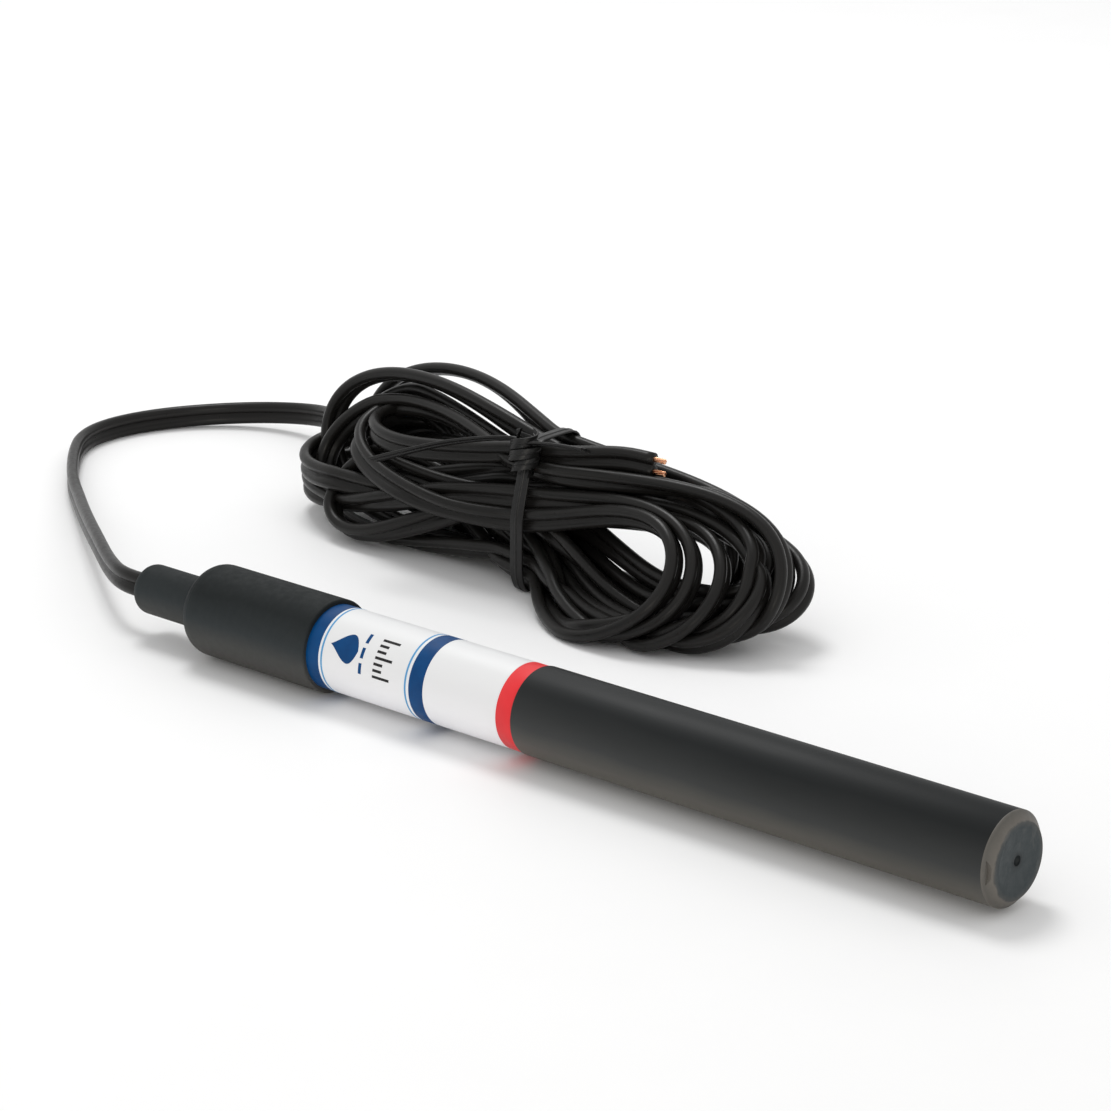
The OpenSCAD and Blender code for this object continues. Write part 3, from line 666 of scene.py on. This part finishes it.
def turned(name, profile, mat, segments=128):
    """A closed ring on the probe's axis, turned from (along, radius) points that run round its section."""
    p, q = [], []
    rows = len(profile)
    for k in range(segments):
        a = math.tau * k / segments
        p += [(x, -r * math.sin(a), AXIS_Z + r * math.cos(a)) for x, r in profile]
        for i in range(rows):
            j, k2 = (i + 1) % rows, (k + 1) % segments
            q.append((k * rows + i, k2 * rows + i, k2 * rows + j, k * rows + j))
    piece = make_mesh(name, p, q)
    face_out(piece)
    piece.data.materials.append(mat)
    mark = piece.modifiers.new("edges", "EDGE_SPLIT")
    mark.split_angle = math.radians(40)
    return piece


def face_out(piece):
    """Turns a closed mesh's faces outwards."""
    low = bmesh.new()
    low.from_mesh(piece.data)
    bmesh.ops.recalc_face_normals(low, faces=low.faces)
    low.to_mesh(piece.data)
    low.free()


def printed(name, shapes, mat):
    """Ink on the label. A shape is its start and end along the probe, then its two edges round it."""
    p, q = [], []
    for x0, x1, low_edge, high_edge in shapes:
        rows, cols, first = 24, 24, len(p)
        for radius in (LABEL_R + PRINT_T, LABEL_R - PRINT_IN):
            for i in range(rows + 1):
                x = x0 + (x1 - x0) * i / rows
                a, b = low_edge(i / rows), high_edge(i / rows)
                for j in range(cols + 1):
                    t = (a + (b - a) * j / cols) / LABEL_R
                    p.append((x, -radius * math.sin(t), AXIS_Z + radius * math.cos(t)))
        w, sheet_size = cols + 1, (rows + 1) * (cols + 1)
        for i in range(rows):
            for j in range(cols):
                at = first + i * w + j
                square = (at, at + w, at + w + 1, at + 1)
                q.append(square)
                q.append(tuple(v + sheet_size for v in reversed(square)))
        rim = [first + j for j in range(w)] + [first + i * w + cols for i in range(1, rows + 1)]
        rim += [first + rows * w + j for j in range(cols - 1, -1, -1)]
        rim += [first + i * w for i in range(rows - 1, 0, -1)]
        for a, b in zip(rim, rim[1:] + rim[:1]):
            q.append((a, b, b + sheet_size, a + sheet_size))
    piece = make_mesh(name, p, q, smooth=False)
    face_out(piece)
    piece.data.materials.append(mat)
    return piece


white_film, tree, shader = material("white_label_film", (0.8, 0.8, 0.81), 0.4, shine=0.4)
# Painted light: the white film is painted paler and a little bluer low down, where light bounces up from the
# floor, and greyer on top as painted shade.
vary_colour(tree, shader, height_share(tree, 90), [
    (0.10, (0.90, 0.90, 0.93)), (0.45, (0.80, 0.80, 0.815)), (0.85, (0.74, 0.745, 0.75))])
vary_rough(tree, shader, grain(tree, "Object", 200), 0.35, 0.45)
bump(tree, shader, grain(tree, "Object", 1500), 0.05, 0.00003)
bump(tree, shader, grain(tree, "Object", 70, (0.2, 1, 1)), 0.06, 0.0002)


def ink(name, dark, light):
    """A printing ink with a dull, even skin."""
    return finish_surface(name, dark, light, 0.45, 0.05, 300, [(2600, (1, 1, 1), 0.05, 0.00002)], shine=0.15)


navy_ink = ink("navy_ink", (0.0, 0.042, 0.150), (0.0, 0.056, 0.190))
sky_ink = ink("sky_ink", (0.08, 0.28, 0.54), (0.11, 0.34, 0.60))
black_ink = ink("black_ink", (0.012, 0.012, 0.013), (0.024, 0.023, 0.023))
red_vinyl = finish_surface("red_vinyl", (0.68, 0.024, 0.030), (0.78, 0.036, 0.042), 0.42, 0.05, 120,
                           [(1700, (1, 1, 1), 0.06, 0.00003)], shine=0.2)
repaint("label_wrap", white_film)


def band_of(start, end):
    """Section of a printed band that goes right round the label."""
    low, high = LABEL_R - PRINT_IN, LABEL_R + PRINT_T
    return [(start, low), (end, low), (end, high), (start, high)]


def drop_half(t):
    """Half width of the water drop at a share of its height from its point."""
    return 3.1 * math.sin(math.pi * min(t, 1) ** 1.7) ** 0.75 if t < 1 else 0.0


DROP_AT, SCALE_AT = 9.4, 9.2          # how far round from the top their middles are
drop = [(-49.4, -41.8, lambda t: DROP_AT - drop_half(t), lambda t: DROP_AT + drop_half(t))]
for k in (-1, 0, 1):
    dash = DROP_AT + 3.2 * k
    drop.append((-40.9, -40.1, lambda t, mid=dash: mid - 1.1, lambda t, mid=dash: mid + 1.1))
scale = []
for k, length in enumerate((4.6, 2.4, 2.4, 4.6, 2.4, 2.4, 4.6)):
    scale.append((-37.0, -37.0 + length, lambda t, k=k: SCALE_AT - 3.9 + 1.3 * k,
                  lambda t, k=k: SCALE_AT - 3.35 + 1.3 * k))
prints = [turned("label_navy_band_rear", band_of(-55.58, -52.1), navy_ink),
          turned("label_navy_band_front", band_of(-27.0, -23.2), navy_ink),
          turned("label_fine_line_rear", band_of(-51.5, -51.05), sky_ink),
          turned("label_fine_line_front", band_of(-28.2, -27.75), sky_ink),
          printed("label_drop_print", drop, navy_ink),
          printed("label_scale_print", scale, black_ink)]
ring = turned("red_depth_ring", [(-3.8, TUBE_R), (-3.8, 8.76), (-3.74, 8.8), (0.06, 8.8), (0.1, 8.76),
                                 (0.1, TUBE_R)], red_vinyl)
for piece in prints:
    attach(piece, "root")
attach(ring, "root")
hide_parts("depth_ring")


# ---- Sensing sleeve ----
# A dark satin plastic sleeve is pulled over the tube from the depth ring to the tip. Its rear edge is rounded
# and stands a little proud of the ring. It has faint extruder lines along it and specks. Its colour is
# painted paler and warmer low down as painted light bounced up from the floor, and darker on top as painted
# shade.
charcoal_sleeve, tree, shader = material("charcoal_sleeve", (0.034, 0.037, 0.038), 0.5, shine=0.14)
# Painted light: paler and warmer low down where the floor's bounce falls, darker on top as painted shade.
painted_light_by_height = ramp(tree, height_share(tree, 45), [(0.10, (0.135, 0.127, 0.112)), (0.30, (0.095, 0.091, 0.082)),
                                             (0.50, (0.040, 0.042, 0.042)), (0.82, (0.011, 0.0125, 0.013))])
speck = ramp(tree, grain(tree, "Object", 420, (0.8, 1, 1), 1.0), [(0.80, (0.0,)), (0.84, (0.35,))])
mix = tree.nodes.new("ShaderNodeMix")
mix.data_type = "RGBA"
tree.links.new(speck, mix.inputs["Factor"])
tree.links.new(painted_light_by_height, mix.inputs["A"])
mix.inputs["B"].default_value = (0.13, 0.13, 0.126, 1)
tree.links.new(mix.outputs["Result"], shader.inputs["Base Color"])
vary_rough(tree, shader, grain(tree, "Object", 60, (0.2, 1, 1)), 0.38, 0.54)
bump(tree, shader, grain(tree, "Object", 900, (0.02, 1, 1)), 0.12, 0.00008)
bump(tree, shader, grain(tree, "Object", 3200), 0.18, 0.00003)
SLEEVE_START, SLEEVE_END, SLEEVE_R, ROUNDING = 0.1, 110.3, 9.0, 0.28
edge = [(SLEEVE_START + ROUNDING * (1 - math.sin(a)), SLEEVE_R - ROUNDING * (1 - math.cos(a)))
        for a in np.linspace(0, math.pi / 2, 6)]
sleeve = turned("satin_sleeve", [(SLEEVE_END, TUBE_R), (SLEEVE_START, TUBE_R), *edge[::-1],
                                 (110.18, SLEEVE_R), (SLEEVE_END, 8.92)], charcoal_sleeve)
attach(sleeve, "root")
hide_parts("sensing_sleeve")


# ---- Tip plug ----
# A moulded plug closes the tip: its chamfer is worn lighter than its dished face, which has the pinhole of
# the mould's gate in the middle. The face is painted darker towards the pinhole as painted shade in the dish.
# A short slit is cut in the chamfer.
tip_moulding, tree, shader = material("tip_moulding", (0.045, 0.05, 0.052), 0.55, shine=0.2)
where = tree.nodes.new("ShaderNodeTexCoord")
split = tree.nodes.new("ShaderNodeSeparateXYZ")
tree.links.new(where.outputs["Object"], split.inputs[0])
across, up = split.outputs["Y"], math_node(tree, "SUBTRACT", split.outputs["Z"], AXIS_Z * 0.001)
squares = [math_node(tree, "MULTIPLY", v, v) for v in (across, up)]
radius = math_node(tree, "SQRT", math_node(tree, "ADD", *squares))
wander = math_node(tree, "MULTIPLY", math_node(tree, "SUBTRACT", grain(tree, "Object", 420), 0.5), 0.0009)
share = math_node(tree, "DIVIDE", math_node(tree, "ADD", radius, wander), 0.009)
# Painted shade: the face darkens towards the middle as shade in the dish and the pinhole; the chamfer ring is
# worn lighter.
zones = ramp(tree, share, [
    (0.0, (0.010, 0.012, 0.013)), (0.10, (0.016, 0.020, 0.022)), (0.25, (0.034, 0.042, 0.045)),
    (0.70, (0.032, 0.040, 0.043)), (0.795, (0.055, 0.057, 0.056)), (0.83, (0.125, 0.115, 0.102)),
    (0.96, (0.092, 0.087, 0.078)), (1.0, (0.110, 0.103, 0.092))])
scuff = ramp(tree, grain(tree, "Object", 300, (1, 1, 0.45), 6.0, 0.7), [(0.58, (0.0,)), (0.72, (0.35,))])
mix = tree.nodes.new("ShaderNodeMix")
mix.data_type = "RGBA"
tree.links.new(scuff, mix.inputs["Factor"])
tree.links.new(zones, mix.inputs["A"])
mix.inputs["B"].default_value = (0.13, 0.126, 0.118, 1)
tree.links.new(mix.outputs["Result"], shader.inputs["Base Color"])
vary_rough(tree, shader, grain(tree, "Object", 800), 0.42, 0.62)
bump(tree, shader, grain(tree, "Object", 260), 0.35, 0.00025)
bump(tree, shader, grain(tree, "Object", 2400), 0.2, 0.00005)
repaint("tip_plug", tip_moulding)


# ---- Inside the probe ----
# A sealed tube holds a circuit board in two rings, with two brass electrodes on a plastic former in front of
# it. The rear plug, the crimp on the lead and the cast resin behind the board keep water out.
INNER = {"sensor_tube": ("natural_tube", (0.52, 0.52, 0.49), (0.62, 0.62, 0.59), 0.45, 40, 0.0),
         "tip_seal": ("seal_rubber", (0.018, 0.018, 0.018), (0.03, 0.03, 0.03), 0.55, 300, 0.0),
         "rear_seal": ("seal_rubber_rear", (0.018, 0.018, 0.018), (0.03, 0.03, 0.03), 0.55, 300, 0.0),
         "rear_plug": ("grey_plug", (0.25, 0.27, 0.29), (0.31, 0.33, 0.35), 0.5, 120, 0.0),
         "cord_clamp": ("crimp_aluminium", (0.60, 0.61, 0.63), (0.75, 0.76, 0.78), 0.35, 400, 1.0),
         "rear_potting": ("cast_resin", (0.014, 0.016, 0.020), (0.024, 0.026, 0.030), 0.2, 80, 0.0),
         "cord_tail": ("inner_vinyl", (0.014, 0.014, 0.013), (0.024, 0.023, 0.021), 0.45, 300, 0.0),
         "core_leads": ("red_core", (0.42, 0.03, 0.025), (0.52, 0.045, 0.035), 0.4, 300, 0.0),
         "core_conductors": ("inner_copper", (0.72, 0.32, 0.16), (0.90, 0.52, 0.33), 0.3, 900, 1.0),
         "circuit_board": ("green_board", (0.008, 0.11, 0.035), (0.014, 0.16, 0.05), 0.35, 200, 0.0),
         "rear_board_ring": ("natural_ring_rear", (0.62, 0.60, 0.54), (0.70, 0.68, 0.62), 0.5, 120, 0.0),
         "front_board_ring": ("natural_ring_front", (0.62, 0.60, 0.54), (0.70, 0.68, 0.62), 0.5, 120, 0.0),
         "oscillator_chip": ("chip_black", (0.014, 0.014, 0.016), (0.024, 0.024, 0.026), 0.55, 500, 0.0),
         "regulator_chip": ("chip_black_small", (0.018, 0.018, 0.02), (0.028, 0.028, 0.03), 0.55, 500, 0.0),
         "filter_inductor": ("ferrite_grey", (0.05, 0.045, 0.04), (0.075, 0.068, 0.06), 0.65, 500, 0.0),
         "filter_capacitor": ("drawn_can", (0.62, 0.63, 0.65), (0.78, 0.79, 0.81), 0.3, 300, 1.0),
         "chip_capacitors": ("ceramic_tan", (0.42, 0.30, 0.15), (0.52, 0.38, 0.2), 0.5, 600, 0.0),
         "chip_resistors": ("resistor_black", (0.016, 0.017, 0.02), (0.026, 0.027, 0.03), 0.5, 600, 0.0),
         "polarity_diode": ("diode_black", (0.014, 0.014, 0.016), (0.024, 0.024, 0.026), 0.5, 500, 0.0),
         "electrode_former": ("natural_former", (0.62, 0.60, 0.54), (0.70, 0.68, 0.62), 0.5, 120, 0.0),
         "rear_electrode": ("rolled_brass_rear", (0.62, 0.44, 0.14), (0.76, 0.56, 0.22), 0.3, 200, 1.0),
         "front_electrode": ("rolled_brass_front", (0.62, 0.44, 0.14), (0.76, 0.56, 0.22), 0.3, 200, 1.0),
         "rear_lead": ("white_lead_rear", (0.72, 0.72, 0.70), (0.80, 0.80, 0.78), 0.4, 400, 0.0),
         "front_lead": ("white_lead_front", (0.72, 0.72, 0.70), (0.80, 0.80, 0.78), 0.4, 400, 0.0)}
for node, (name, dark, light, rough, size, metallic) in INNER.items():
    skin = [(size * 6, (1, 1, 1), 0.12, 0.00003)]
    repaint(node, finish_surface(name, dark, light, rough, 0.05, size, skin, metallic))


# ---- Floor and light ----
# A pale floor reaches past the view on all sides. A broad soft light hangs behind and to the left,
# a warm one stands low in front, and the rest comes from an even white sky.
floor_mesh = bpy.data.meshes.new("floor")
floor_mesh.from_pydata([(-6, -6, 0), (6, -6, 0), (6, 6, 0), (-6, 6, 0)], [], [(0, 1, 2, 3)])
floor = bpy.data.objects.new("floor", floor_mesh)
bpy.context.scene.collection.objects.link(floor)
pale_floor, tree, shader = material("pale_floor", (0.9, 0.9, 0.9), 0.6)
vary_colour(tree, shader, grain(tree, "Object", 30), [
    (0.3, (0.895, 0.895, 0.895)), (0.7, (0.905, 0.905, 0.905))])
floor.data.materials.append(pale_floor)


def soft_light(name, place, aim, size, watts, colour=(1, 1, 1)):
    lamp = bpy.data.lights.new(name, "AREA")
    lamp.shape = "DISK"
    lamp.size = size
    lamp.energy = watts
    lamp.color = colour
    holder = bpy.data.objects.new(name, lamp)
    bpy.context.scene.collection.objects.link(holder)
    holder.location = place
    holder.rotation_euler = (Vector(aim) - Vector(place)).to_track_quat("-Z", "Y").to_euler()


soft_light("sky_panel", (-0.55, 0.35, 1.1), (-0.05, 0.04, 0), 0.5, 6)
soft_light("low_fill", (0.9, -1.1, 0.16), (0, 0.02, 0.01), 0.5, 4, (1, 0.94, 0.84))
world = bpy.data.worlds.new("white_sky")
world.use_nodes = True
world.node_tree.nodes["Background"].inputs["Color"].default_value = (1, 1, 1, 1)
world.node_tree.nodes["Background"].inputs["Strength"].default_value = 0.80
bpy.context.scene.world = world
bpy.context.scene.view_settings.view_transform = "Standard"
